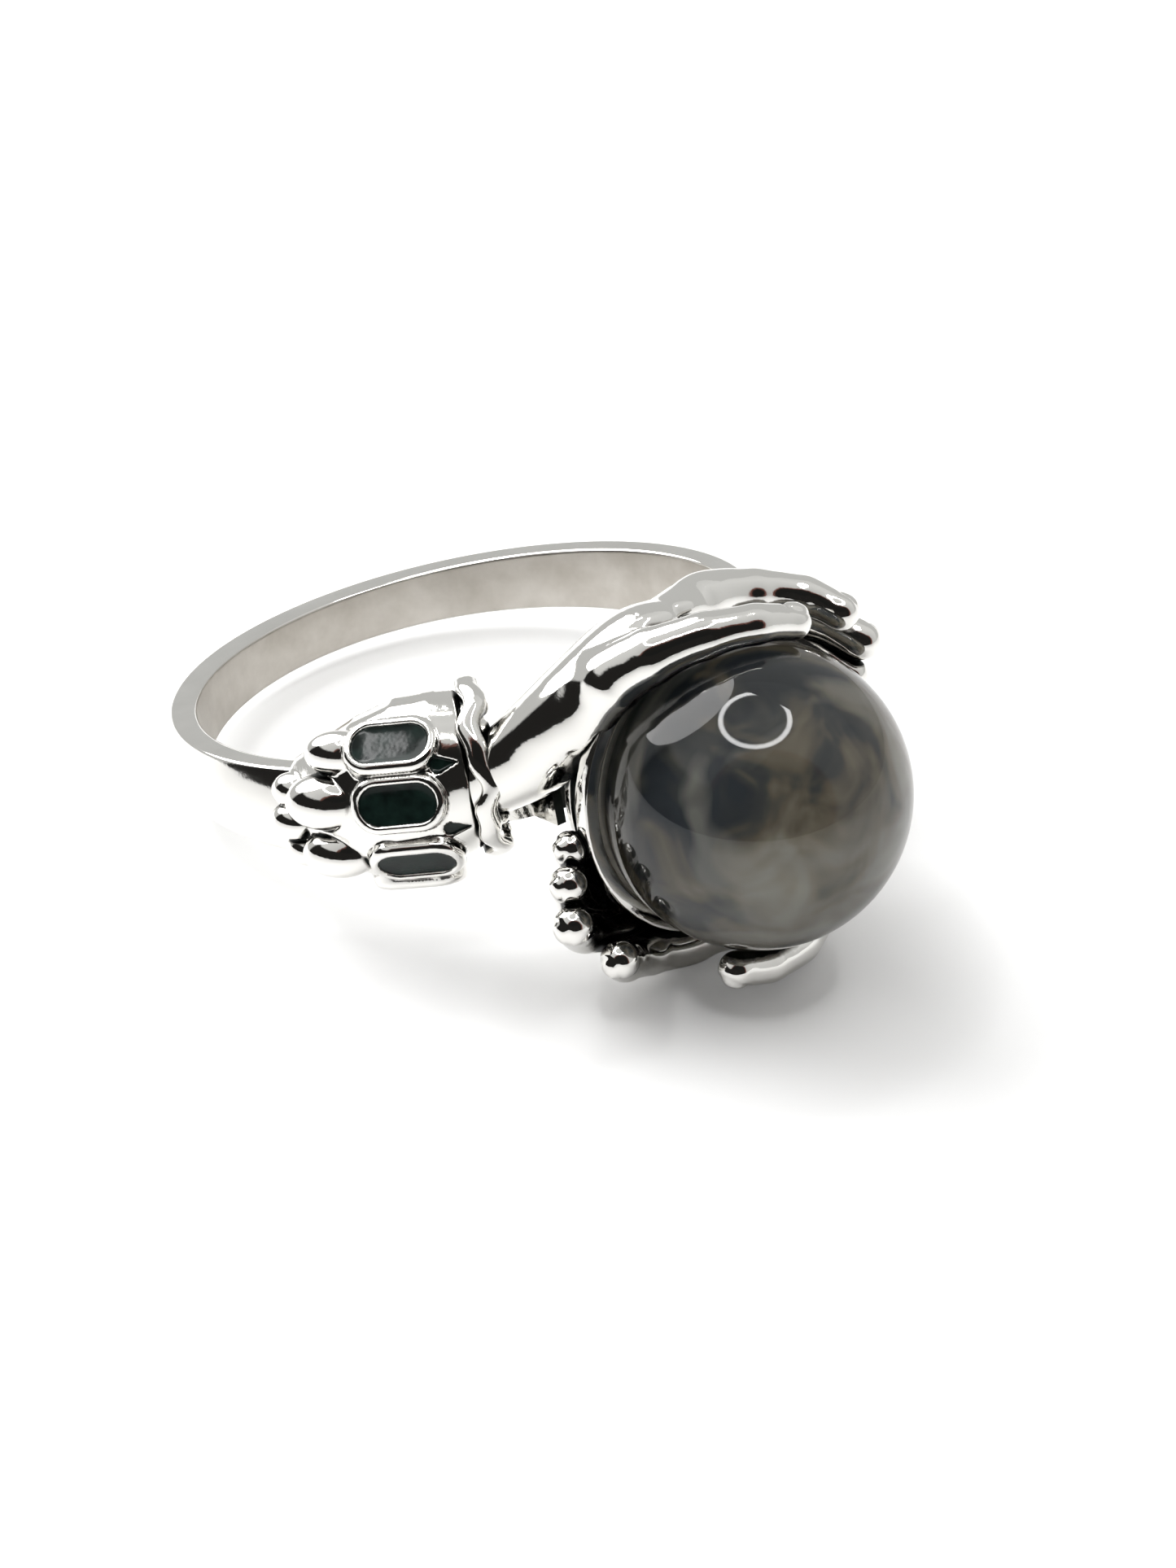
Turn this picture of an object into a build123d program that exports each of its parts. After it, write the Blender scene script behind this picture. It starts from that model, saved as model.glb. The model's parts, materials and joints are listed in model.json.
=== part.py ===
from build123d import *
import os
from math import cos, radians, sin

# A finger ring: two hands reach from flower-petalled cuffs and clasp a ball of smoky crystal.
# Millimetres.  The origin is the middle of the finger hole and +Z runs along the hole.
# The ball sits towards -Y.  The right half is the left half turned half a turn about Y.

# Band
BORE_R = 9.9                # finger hole, US size 10
BAND_WALL = 0.8             # thickness of the flat rim of the band
BAND_CROWN = 0.4            # how far the band's outside bulges past its rims
BAND_CROWN_HALF = 1.45      # half width over which that bulge runs out
BAND_BACK_HALF = 1.0        # half width of the band at the back of the finger
BAND_FRONT_HALF = 1.9       # half width the two rims would reach at the front
BAND_END_ANGLE = 37.0       # the band stops here inside each cuff, degrees from the ball's side

# Bar that closes the hole behind the ball
BAR_THICK = 0.8
BAR_HALF = 0.8
WEB_THICK = 0.35
WEB_RISE = 2.3              # how far each web stands out along the ball's axis

# Ball, its glue and its cup
BALL_R = 5.05
GLUE_GAP = 0.15
GLUE_DEPTH = 2.6            # the glue starts this far behind the middle of the ball
CUP_WALL = 0.45
CUP_DEPTH = 2.15            # the cup's lip lies this far behind the middle of the ball
CUP_LIP_R = 5.25
CUP_LIP_HEIGHT = 0.6
CUP_NECK_R = 4.45           # dark groove under the lip
CUP_NECK_DROP = 0.5         # slope from the lip down into the groove
CUP_FLANGE_R = 4.55
CUP_FLANGE_DEPTH = 4.0
CUP_FLANGE_HEIGHT = 0.3
CUP_FOOT_R = 2.4

BALL_Y = -(BORE_R + BAR_THICK + CUP_WALL + GLUE_GAP + BALL_R)
BALL_CENTRE = Vector(0, BALL_Y, 0)

# Cuff: stations along the sleeve, (angle from the ball's side, middle z, half height, outer reach)
CUFF_MOUTH = (33.5, 1.25, 2.65, 2.95)
CUFF_STATIONS = [
    (39.0, 1.05, 2.95, 2.90),
    (46.0, 0.80, 3.10, 2.95),
    (54.0, 0.60, 2.75, 2.60),
    (61.0, 0.40, 2.25, 2.00),
    (68.0, 0.15, 1.75, 1.45),
]
CUFF_SIDE = 0.6             # the sleeve's sides stand square to the hole for this height
CUFF_INSET = 0.5            # sleeve stock that is reamed away by the finger hole
CUFF_DOME = 0.55            # exponent of the sleeve's crown: lower is squarer
DOME_RISE = 0.72            # share of the crown's height where its shoulder passes
DOME_REACH = 0.78           # share of the half height where that shoulder passes
REAMER_LENGTH = 20.0        # longer than any piece that the finger hole cuts

# Collar: a rolled ribbon round the cuff's mouth
COLLAR_WIDTH = 4.2          # degrees round the hole
COLLAR_FLARE = 0.45         # how far the ribbon stands out past the cuff
COLLAR_RUFFLES = 7
RUFFLE_R = 0.42
RUFFLE_SINK = 0.4           # degrees that each ruffle's middle lies inside the ribbon's edge
RUFFLE_SWING = 80.0         # the ruffles spread this far each way round the mouth
RUFFLE_TURN = (25, 35, 15)  # turns each ruffle's seam away from the ribbon's
COLLAR_STEP = 0.05          # the ribbon narrows by this at its middle, and twice that at its end

# Petals on the cuff, (angle, z, half length, half width, half height)
PETALS = [
    (58.0, 1.15, 1.45, 0.95, 0.75),
    (55.0, 2.75, 1.20, 0.75, 0.65),
    (57.5, -0.85, 1.35, 0.85, 0.75),
]
SCALLOPS = [
    (66.0, 1.20, 0.80, 0.60, 0.50),
    (66.5, 0.10, 0.90, 0.65, 0.60),
    (65.5, -1.05, 0.85, 0.60, 0.55),
]

PETAL_LEAN = 18.0           # degrees that a petal leans per millimetre off the sleeve's middle

# Enamel windows, (angle, z, lean of the window's face away from the radial direction)
WINDOWS = {
    "top": (45.0, 3.10, 52.0),
    "middle": (44.5, 1.35, 12.0),
    "bottom": (44.0, -0.95, -34.0),
    "under": (46.0, -2.25, -78.0),
}
WINDOW_LENGTH = 2.6
WINDOW_WIDTH = 1.35
WINDOW_FRAME = 0.32         # raised rim round each window
WINDOW_CORNER = 0.42        # corner radius as a share of the window's width
FRAME_CORNER = 0.44         # the same for the rim's outside
FRAME_ROOT = 1.0            # how far the rim's stock reaches down from its top
FRAME_STAND = 0.22          # how far the rim stands above the sleeve
WINDOW_DEPTH = 0.30         # pocket, measured from the top of the rim
ENAMEL_SINK = 0.12          # the enamel's face lies this far below the rim
DROPS = [(36.6, 0.15, -18.0), (36.9, 2.45, 32.0)]
DROP_LENGTH = 0.95
DROP_WIDTH = 0.55
DROP_DEPTH = 0.25
DROP_SINK = 0.08
DROP_START = 0.3            # the drop's cutter starts this far above the skin

# Hand: points along each limb, (turn round the ball's axis, tilt from its back,
# clearance over the ball, radius)
WRIST_ROOT = (35.0, 0.90, 11.35, 1.20)      # angle, z and distance from the hole's axis, radius
FOREARM = (156.0, 47.0, 0.85, 1.50)
PALM = [
    (133.0, 53.0, 0.10, 1.35, 1.85),        # the last value is the palm's half width
    (108.0, 55.0, 0.15, 1.15, 2.05),
    (92.0, 56.0, 0.45, 0.80, 1.70),
]
DIGITS = {
    "thumb": [(142, 58, 0.15, 0.90), (125, 69, 0.08, 1.05), (113, 79, 0.08, 0.92),
              (98, 88, 0.08, 0.76), (82, 93, 0.08, 0.66), (68, 94, 0.12, 0.60)],
    "index": [(108, 62, 0.20, 0.85), (77, 61, 0.60, 0.92), (58, 65, 1.00, 0.78),
              (45, 72, 1.25, 0.70), (37, 79, 1.25, 0.62)],
    "middle": [(110, 56, 0.30, 0.90), (75, 53, 0.75, 0.88), (52, 56, 1.25, 0.75),
               (33, 65, 1.50, 0.70), (21, 75, 1.60, 0.64)],
    "ring": [(112, 51, 0.30, 0.90), (74, 46, 0.70, 0.85), (48, 49, 1.10, 0.75),
             (27, 58, 1.15, 0.68), (12, 70, 1.10, 0.60)],
    "little": [(116, 47, 0.30, 0.85), (74, 39, 0.60, 0.78), (41, 42, 0.80, 0.70),
               (18, 51, 0.80, 0.62), (5, 62, 0.65, 0.55)],
}
TIP_SWELL = 1.06            # fingertips are a little fuller than the joint behind them
PALM_GAP = 0.02             # glue line between a palm and the ball


def round_hole(angle, z, reach):
    """A point round the finger hole: angle from the ball's side towards -X, distance from the axis."""
    return Vector(-reach * sin(radians(angle)), -reach * cos(radians(angle)), z)


def round_ball(turn, tilt, reach):
    """A point round the ball: turn about the ball's Y axis, tilt from its back, distance from its middle."""
    across = reach * sin(radians(tilt))
    return BALL_CENTRE + Vector(across * cos(radians(turn)), reach * cos(radians(tilt)),
                                across * sin(radians(turn)))


def over_ball(point):
    """The middle of a limb that clears the ball by its given clearance."""
    turn, tilt, clearance, radius = point[:4]
    return round_ball(turn, tilt, BALL_R + clearance + radius)


def half_turn(shape):
    """The right-hand copy of a left-hand piece."""
    return shape.rotate(Axis.Y, 180)


def turned(outline):
    """Turn an outline of (radius, depth behind the ball's middle) about the ball's axis."""
    corners = [BALL_CENTRE + Vector(r, depth, 0) for r, depth in outline]
    return revolve(make_face(Polyline(*corners, close=True)), Axis(BALL_CENTRE, (0, 1, 0)))


def sector(start, end, reach, height):
    """A wedge about the hole's axis between two angles from the ball's side."""
    steps = 4
    rim = [round_hole(start + (end - start) * i / steps, -height, reach) for i in range(steps + 1)]
    return extrude(make_face(Polyline(Vector(0, 0, -height), *rim, close=True)), 2 * height,
                   dir=(0, 0, 1))


def band():
    outer = BORE_R + BAND_WALL
    drop = BAND_CROWN * (BAND_FRONT_HALF / BAND_CROWN_HALF) ** 2
    edge = outer + BAND_CROWN - drop
    profile = make_face([
        Line((BORE_R, 0, -BAND_FRONT_HALF), (edge, 0, -BAND_FRONT_HALF)),
        ThreePointArc((edge, 0, -BAND_FRONT_HALF), (outer + BAND_CROWN, 0, 0),
                      (edge, 0, BAND_FRONT_HALF)),
        Line((edge, 0, BAND_FRONT_HALF), (BORE_R, 0, BAND_FRONT_HALF)),
        Line((BORE_R, 0, BAND_FRONT_HALF), (BORE_R, 0, -BAND_FRONT_HALF)),
    ])
    hoop = revolve(profile, Axis.Z)
    far = outer + BAND_CROWN
    side = make_face(Polyline((0, -far, -BAND_FRONT_HALF), (0, far, -BAND_BACK_HALF),
                              (0, far, BAND_BACK_HALF), (0, -far, BAND_FRONT_HALF), close=True))
    taper = extrude(side, far + 1, dir=(1, 0, 0), both=True)
    front = sector(-BAND_END_ANGLE, BAND_END_ANGLE, 2 * far, 2 * BAND_FRONT_HALF)
    return (hoop & taper) - front


def cup_outline():
    lip_end = CUP_DEPTH + CUP_LIP_HEIGHT
    flange_end = CUP_FLANGE_DEPTH + CUP_FLANGE_HEIGHT
    foot = BALL_R + GLUE_GAP + CUP_WALL
    return [(0, CUP_DEPTH), (CUP_LIP_R, CUP_DEPTH), (CUP_LIP_R, lip_end),
            (CUP_NECK_R, lip_end + CUP_NECK_DROP), (CUP_NECK_R, CUP_FLANGE_DEPTH),
            (CUP_FLANGE_R, CUP_FLANGE_DEPTH), (CUP_FLANGE_R, flange_end),
            (CUP_FOOT_R, foot), (0, foot)]


def ball_of(radius):
    return Pos(BALL_CENTRE) * Sphere(radius)


def cup_block():
    return turned(cup_outline())


def glue():
    far = 2 * BALL_R
    behind = turned([(0, GLUE_DEPTH), (far, GLUE_DEPTH), (far, far), (0, far)])
    return (ball_of(BALL_R + GLUE_GAP) - ball_of(BALL_R)) & behind


def bar(cup):
    ring = Cylinder(BORE_R + BAR_THICK, 2 * BAR_HALF) - Cylinder(BORE_R, 2 * BAR_HALF)
    reach = 2 * BORE_R
    arc = ring & sector(-BAND_END_ANGLE, BAND_END_ANGLE, reach, 2 * BAR_HALF)
    web_x = CUP_FLANGE_R
    bar_y = -(BORE_R ** 2 - web_x ** 2) ** 0.5
    web = Pos(-web_x + WEB_THICK, bar_y - WEB_RISE / 2, 0) * Box(WEB_THICK, WEB_RISE, 2 * BAR_HALF)
    webs = web + half_turn(web)
    hole = Cylinder(BORE_R, 4 * BAR_HALF)
    return (arc + webs) - hole - cup


def sleeve_section(angle, middle, half, reach):
    """A D standing on the finger hole: flat inside, crowned outside."""
    inside = BORE_R - CUFF_INSET
    shoulder = BORE_R + CUFF_SIDE
    top = BORE_R + reach
    plane = Plane(origin=(0, 0, 0), x_dir=round_hole(angle, 0, 1), z_dir=round_hole(angle - 90, 0, 1))
    low = middle - half
    high = middle + half
    sign = 1 if plane.y_dir.Z > 0 else -1
    rise = top - shoulder
    dome = Spline((shoulder, sign * low), (shoulder + DOME_RISE * rise, sign * (middle - DOME_REACH * half)),
                  (top, sign * middle), (shoulder + DOME_RISE * rise, sign * (middle + DOME_REACH * half)),
                  (shoulder, sign * high), tangents=[(1, 0), (-1, 0)])
    outline = [Line((inside, sign * low), (shoulder, sign * low)), dome,
               Line((shoulder, sign * high), (inside, sign * high)),
               Line((inside, sign * high), (inside, sign * low))]
    return plane * make_face(outline)


def sleeve(stations, grow=0.0):
    faces = [sleeve_section(a, m, h + grow, reach + grow) for a, m, h, reach in stations]
    return loft(faces)


def station_at(angle):
    """The sleeve's middle, half height and reach between its stations."""
    stations = [CUFF_MOUTH] + CUFF_STATIONS
    for near, far in zip(stations[:-1], stations[1:]):
        if near[0] <= angle <= far[0]:
            share = (angle - near[0]) / (far[0] - near[0])
            return [n + share * (f - n) for n, f in zip(near[1:], far[1:])]
    return list(stations[0][1:])


def sleeve_height(angle, z):
    """Distance of the sleeve's skin from the hole's axis."""
    middle, half, reach = station_at(angle)
    across = min(abs(z - middle) / half, 1.0)
    return BORE_R + CUFF_SIDE + (reach - CUFF_SIDE) * (1 - across ** 2) ** CUFF_DOME


def skin_plane(angle, z, lean, lift):
    """A plane on the sleeve whose normal leans from the radial direction towards +Z."""
    out = round_hole(angle, 0, 1)
    along = round_hole(angle + 90, 0, 1)
    normal = out * cos(radians(lean)) + Vector(0, 0, 1) * sin(radians(lean))
    seat = round_hole(angle, z, sleeve_height(angle, z)) + normal * lift
    return Plane(origin=seat, x_dir=along, z_dir=normal)


def window_tool(place, length, width, corner, lift, depth):
    outline = RectangleRounded(length, width, corner)
    return extrude(skin_plane(*place, lift) * outline, -depth)


def drop_tool(place, lift, depth):
    plane = skin_plane(*place, lift)
    half = DROP_LENGTH / 2
    round_r = DROP_WIDTH / 2
    head = Pos(half - round_r, 0) * Circle(round_r)
    tail = make_face(Polyline((-half, 0), (half - round_r, round_r), (half - round_r, -round_r),
                              close=True))
    return extrude(plane * (head + tail), -depth)


def bump(angle, z, length, width, height):
    """Half-buried plump petal, its long axis along the sleeve."""
    plane = skin_plane(angle, z, PETAL_LEAN * (z - station_at(angle)[0]), 0)
    grown = revolve(make_face([
        EllipticalCenterArc((0, 0), length, width, start_angle=0, arc_size=180),
        Line((-length, 0), (length, 0))]), Axis.X)
    return plane * Pos(0, 0, height - width) * grown


def fill_window(place):
    """Enamel for one window: it fills the pocket to just below the rim."""
    floor = WINDOW_DEPTH - ENAMEL_SINK
    return window_tool(place, WINDOW_LENGTH, WINDOW_WIDTH, WINDOW_WIDTH * WINDOW_CORNER,
                       FRAME_STAND - ENAMEL_SINK, floor)


def cuff(inner_pieces):
    body = sleeve([CUFF_MOUTH] + CUFF_STATIONS)
    for petal in PETALS + SCALLOPS:
        body += bump(*petal)
    frame_l = WINDOW_LENGTH + 2 * WINDOW_FRAME
    frame_w = WINDOW_WIDTH + 2 * WINDOW_FRAME
    for place in WINDOWS.values():
        body += window_tool(place, frame_l, frame_w, frame_w * FRAME_CORNER, FRAME_STAND, FRAME_ROOT)
    for place in WINDOWS.values():
        body -= window_tool(place, WINDOW_LENGTH, WINDOW_WIDTH, WINDOW_WIDTH * WINDOW_CORNER,
                            FRAME_STAND, WINDOW_DEPTH)
    for place in DROPS:
        body -= drop_tool(place, DROP_START, DROP_START + DROP_DEPTH)
    body -= Cylinder(BORE_R, REAMER_LENGTH)
    for piece in inner_pieces:
        body -= piece
    return body


def collar(inner_pieces):
    start, middle, half, reach = CUFF_MOUTH
    end = start - COLLAR_WIDTH
    rings = [(start - COLLAR_WIDTH / 2 * i, middle, half - COLLAR_STEP * i, reach - COLLAR_STEP * i)
             for i in range(3)]
    ribbon = sleeve(rings, COLLAR_FLARE)
    for piece in [Cylinder(BORE_R, REAMER_LENGTH)] + inner_pieces:
        ribbon -= piece
    ruffles = []
    for i in range(COLLAR_RUFFLES):
        swing = radians(RUFFLE_SWING * (2 * i / (COLLAR_RUFFLES - 1) - 1))
        z = middle + half * sin(swing)
        out = BORE_R + CUFF_SIDE + (reach - CUFF_SIDE) * cos(swing)
        ruffles.append(Pos(round_hole(end + RUFFLE_SINK, z, out)) * Rot(*RUFFLE_TURN) * Sphere(RUFFLE_R))
    row = ruffles[0] + ruffles[1:]
    for piece in inner_pieces:
        row -= piece
    for ruffle in row.solids():
        ribbon += ruffle
    return ribbon


def limb(points, reference):
    """Circles square to the limb's path, lofted, with a round tip."""
    centres = [p for p, _ in points]
    faces = []
    for i, (centre, radius) in enumerate(points):
        before = centres[max(i - 1, 0)]
        after = centres[min(i + 1, len(points) - 1)]
        plane = Plane(origin=centre, x_dir=centre - reference, z_dir=after - before)
        faces.append(plane * Circle(radius))
    tip, radius = points[-1]
    return loft(faces) + Pos(tip) * Sphere(radius * TIP_SWELL)


def arm():
    """Wrist, forearm and palm in one sweep of round and oval sections."""
    angle, z, reach, radius = WRIST_ROOT
    root = round_hole(angle, z, reach)
    centres = [root, over_ball(FOREARM)] + [over_ball(p) for p in PALM]
    thick = [radius, FOREARM[3]] + [p[3] for p in PALM]
    wide = [radius, FOREARM[3]] + [p[4] for p in PALM]
    faces = []
    for i, centre in enumerate(centres):
        before = centres[max(i - 1, 0)]
        after = centres[min(i + 1, len(centres) - 1)]
        plane = Plane(origin=centre, x_dir=centre - BALL_CENTRE, z_dir=after - before)
        faces.append(plane * Ellipse(thick[i], wide[i]))
    return loft(faces)


def hand(forearm, obstacles):
    body = forearm
    for points in DIGITS.values():
        body += limb([(over_ball(p), p[3]) for p in points], BALL_CENTRE)
    for piece in obstacles:
        body -= piece
    return body


def build():
    shank = band()
    cup_solid = cup_block()
    cup = cup_solid - ball_of(BALL_R + GLUE_GAP)
    under_bar = bar(cup_solid)
    forearm = arm()
    left_hand = hand(forearm, [ball_of(BALL_R + PALM_GAP), cup_solid, under_bar])
    left_cuff = cuff([shank, under_bar, left_hand])
    left_collar = collar([forearm, under_bar])
    pieces = {
        "shank": shank,
        "gallery_bar": under_bar,
        "bezel_cup": cup,
        "ball_cement": glue(),
        "crystal_ball": ball_of(BALL_R),
        "left_cuff": left_cuff,
        "left_collar": left_collar,
        "left_hand": left_hand,
        "left_enamel_drops": Compound([s for p in DROPS
                                       for s in drop_tool(p, -DROP_SINK, DROP_DEPTH - DROP_SINK).solids()]),
    }
    for name, place in WINDOWS.items():
        pieces["left_enamel_" + name] = fill_window(place)
    for name in [n for n in pieces if n.startswith("left_")]:
        pieces[name.replace("left_", "right_")] = half_turn(pieces[name])
    return pieces


os.makedirs("parts", exist_ok=True)
for name, piece in build().items():
    export_step(piece, f"parts/{name}.step")
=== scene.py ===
import bpy
import json
import numpy as np
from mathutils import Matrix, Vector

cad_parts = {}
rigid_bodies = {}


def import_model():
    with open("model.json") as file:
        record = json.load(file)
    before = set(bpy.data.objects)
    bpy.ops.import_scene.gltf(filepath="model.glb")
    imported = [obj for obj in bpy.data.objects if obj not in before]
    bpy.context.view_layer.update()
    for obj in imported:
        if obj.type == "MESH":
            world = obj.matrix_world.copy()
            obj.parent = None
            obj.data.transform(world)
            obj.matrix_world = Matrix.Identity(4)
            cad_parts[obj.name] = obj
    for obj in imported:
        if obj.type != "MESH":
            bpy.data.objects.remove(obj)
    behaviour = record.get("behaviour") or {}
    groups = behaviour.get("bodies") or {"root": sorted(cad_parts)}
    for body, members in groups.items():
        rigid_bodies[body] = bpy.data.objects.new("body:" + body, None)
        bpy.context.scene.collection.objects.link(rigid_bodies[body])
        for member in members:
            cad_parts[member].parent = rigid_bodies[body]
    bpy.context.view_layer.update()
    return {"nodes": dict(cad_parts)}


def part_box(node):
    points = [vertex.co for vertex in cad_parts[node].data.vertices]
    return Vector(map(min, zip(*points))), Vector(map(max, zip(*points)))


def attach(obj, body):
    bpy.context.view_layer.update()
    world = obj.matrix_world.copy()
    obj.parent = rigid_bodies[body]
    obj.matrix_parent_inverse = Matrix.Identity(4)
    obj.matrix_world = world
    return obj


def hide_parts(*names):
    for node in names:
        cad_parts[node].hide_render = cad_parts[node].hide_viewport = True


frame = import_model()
from concurrent.futures import ThreadPoolExecutor
from math import cos, exp, radians, sin, sqrt
from mathutils import Matrix, Vector

# A silver finger ring: two hands reach from petalled cuffs and clasp a ball of smoky crystal.
# Lengths are millimetres until a mesh is made.  The right half is the left one turned half a turn
# about Y.  Cast pieces are modelled as distance fields and drawn as nets of quads.

MM = 0.001

# ---- Sizes that the solids also have
BORE_R = 9.9
BAND_WALL = 0.8
BAND_CROWN = 0.4
BAND_CROWN_HALF = 1.45
BAND_BACK_HALF = 1.0
BAND_FRONT_HALF = 1.9
BAND_END_ANGLE = 37.0
BAR_THICK = 0.8
BAR_HALF = 0.8
BALL_R = 5.05
GLUE_GAP = 0.15
CUP_WALL = 0.45
CUP_DEPTH = 2.15
CUP_LIP_R = 5.25
CUP_LIP_HEIGHT = 0.6
CUP_NECK_R = 4.45
CUP_NECK_DROP = 0.5
CUP_FLANGE_R = 4.55
CUP_FLANGE_DEPTH = 4.0
CUP_FLANGE_HEIGHT = 0.3
CUP_FOOT_R = 2.4
BALL_CENTRE = np.array([0, -(BORE_R + BAR_THICK + CUP_WALL + GLUE_GAP + BALL_R), 0], np.float32)
CUFF_STATIONS = np.array([     # angle from the ball's side, middle z, half height, reach
    (33.5, 1.25, 2.65, 2.95), (39.0, 1.05, 2.95, 2.90), (46.0, 0.80, 3.10, 2.95),
    (54.0, 0.60, 2.75, 2.60), (61.0, 0.40, 2.25, 2.00), (68.0, 0.15, 1.75, 1.45)])
CUFF_SIDE = 0.6
COLLAR_WIDTH = 4.2
COLLAR_FLARE = 0.45
COLLAR_RUFFLES = 7
RUFFLE_R = 0.42
RUFFLE_SWING = 80.0
PETALS = [(58.0, 1.15, 1.45, 0.95, 0.75), (55.0, 2.75, 1.20, 0.75, 0.65),
          (57.5, -0.85, 1.35, 0.85, 0.75), (66.0, 1.20, 0.80, 0.60, 0.50),
          (66.5, 0.10, 0.90, 0.65, 0.60), (65.5, -1.05, 0.85, 0.60, 0.55)]
WINDOWS = {"top": (45.0, 3.10, 52.0), "middle": (44.5, 1.35, 12.0),
           "bottom": (44.0, -0.95, -34.0), "under": (46.0, -2.25, -78.0)}
WINDOW_LENGTH = 2.6
WINDOW_WIDTH = 1.35
WINDOW_FRAME = 0.32
FRAME_STAND = 0.22
WINDOW_DEPTH = 0.30
ENAMEL_SINK = 0.12
DROPS = [(36.6, 0.15, -18.0), (36.9, 2.45, 32.0)]
DROP_LENGTH = 0.95
DROP_WIDTH = 0.55
DROP_DEPTH = 0.25
DROP_SINK = 0.08
WRIST_ROOT = (35.0, 0.90, 11.35, 1.20)
FOREARM = (156.0, 47.0, 0.85, 1.50)
PALM = [(133.0, 53.0, 0.10, 1.35, 1.85), (108.0, 55.0, 0.15, 1.15, 2.05),
        (92.0, 56.0, 0.45, 0.80, 1.70)]
DIGITS = {
    "thumb": [(142, 58, 0.15, 0.90), (125, 69, 0.08, 1.05), (113, 79, 0.08, 0.92),
              (98, 88, 0.08, 0.76), (82, 93, 0.08, 0.66), (68, 94, 0.12, 0.60)],
    "index": [(108, 62, 0.20, 0.85), (77, 61, 0.60, 0.92), (58, 65, 1.00, 0.78),
              (45, 72, 1.25, 0.70), (37, 79, 1.25, 0.62)],
    "middle": [(110, 56, 0.30, 0.90), (75, 53, 0.75, 0.88), (52, 56, 1.25, 0.75),
               (33, 65, 1.50, 0.70), (21, 75, 1.60, 0.64)],
    "ring": [(112, 51, 0.30, 0.90), (74, 46, 0.70, 0.85), (48, 49, 1.10, 0.75),
             (27, 58, 1.15, 0.68), (12, 70, 1.10, 0.60)],
    "little": [(116, 47, 0.30, 0.85), (74, 39, 0.60, 0.78), (41, 42, 0.80, 0.70),
               (18, 51, 0.80, 0.62), (5, 62, 0.65, 0.55)],
}
PALM_GAP = 0.02

# ---- Sizes of the looks alone
NET_STEP = 0.085    # grid of the sculpted pieces
CHUNK = 12000               # points that one thread measures at a time
PATH_STEPS = 9              # points added along a limb between two of its stations
PATH_TRIES = 4              # times that the nearest place on a limb is improved
FINGER_CREASE = 0.05        # how far neighbouring fingers melt together
PALM_BLEND = 0.30           # how far the fingers melt into the palm
WINDOW_ROUND = 0.98         # share of a window's half width that its rounded ends take
LIMB_MARGIN = 0.8           # beyond this a limb's distance is only roughly known
CUFF_REAM = 0.05            # the cuff's hollow lies this far behind the shank's finger side
KNUCKLE = 0.07              # share by which a finger's joints are thicker
FAR = 1e3


# ---- Places

def unit(v):
    return np.asarray(v, float) / np.linalg.norm(v)


def round_hole(angle, z, reach):
    return np.array([-reach * sin(radians(angle)), -reach * cos(radians(angle)), z])


def round_ball(turn, tilt, reach):
    across = reach * sin(radians(tilt))
    return BALL_CENTRE + np.array([across * cos(radians(turn)), reach * cos(radians(tilt)),
                                   across * sin(radians(turn))])


def over_ball(point):
    turn, tilt, clearance, radius = point[:4]
    return round_ball(turn, tilt, BALL_R + clearance + radius)


def station_at(angle):
    """Middle, half height and reach of the sleeve, between its stations."""
    return [np.interp(angle, CUFF_STATIONS[:, 0], CUFF_STATIONS[:, i]) for i in (1, 2, 3)]


def sleeve_height(angle, z):
    middle, half, reach = station_at(angle)
    across = min(abs(z - middle) / half, 1.0)
    return BORE_R + CUFF_SIDE + (reach - CUFF_SIDE) * (1 - across ** 2) ** 0.55


def skin_frame(angle, z, lean):
    """Origin on the sleeve's skin, with rows along it, across it and out of it."""
    along = round_hole(angle + 90, 0, 1)
    out = round_hole(angle, 0, 1) * cos(radians(lean)) + np.array([0, 0, sin(radians(lean))])
    return round_hole(angle, z, sleeve_height(angle, z)), np.array([along, np.cross(out, along), out])


def spline(rows, steps=PATH_STEPS):
    """A smooth path through rows of numbers."""
    rows = np.asarray(rows, float)
    ends = np.vstack([2 * rows[0] - rows[1], rows, 2 * rows[-1] - rows[-2]])
    t = np.arange(steps)[:, None] / steps
    runs = [0.5 * (2 * b + (c - a) * t + (2 * a - 5 * b + 4 * c - d) * t ** 2
                   + (3 * b - a - 3 * c + d) * t ** 3)
            for a, b, c, d in zip(ends[:-3], ends[1:-2], ends[2:-1], ends[3:])]
    return np.vstack(runs + [rows[-1:]])


def digit_path(points):
    """Centres and radii along a digit, a little thicker at each joint."""
    path = spline([[*over_ball(p), p[3]] for p in points])
    station = np.arange(len(path)) / PATH_STEPS
    near = np.abs(station - np.round(station))
    path[:, 3] *= 1 + KNUCKLE * (np.exp(-(near / 0.22) ** 2) - 0.6)
    return path


def arm_path():
    """Centres, thickness and half width from the wrist to the knuckles."""
    angle, z, reach, radius = WRIST_ROOT
    rows = [[*round_hole(angle, z, reach), radius, radius],
            [*over_ball(FOREARM), FOREARM[3], FOREARM[3]]]
    rows += [[*over_ball(p), p[3], p[4]] for p in PALM]
    return spline(rows)


ARM_PATH = arm_path().astype(np.float32)
DIGIT_PATHS = {name: digit_path(points).astype(np.float32) for name, points in DIGITS.items()}


# ---- Distance fields: each takes rows of points and returns the distance out of a piece

def blend(a, b, soft):
    """Union of two fields, melted over the given distance."""
    h = np.clip(0.5 + 0.5 * (b - a) / soft, 0, 1)
    return b + h * (a - b) - soft * h * (1 - h)


def carve(a, b, soft):
    """Field a without field b, its edge rounded."""
    return -blend(-a, b, soft)


def within(a, b, soft):
    """Where both fields are, its edge rounded."""
    return -blend(-a, -b, soft)


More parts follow.
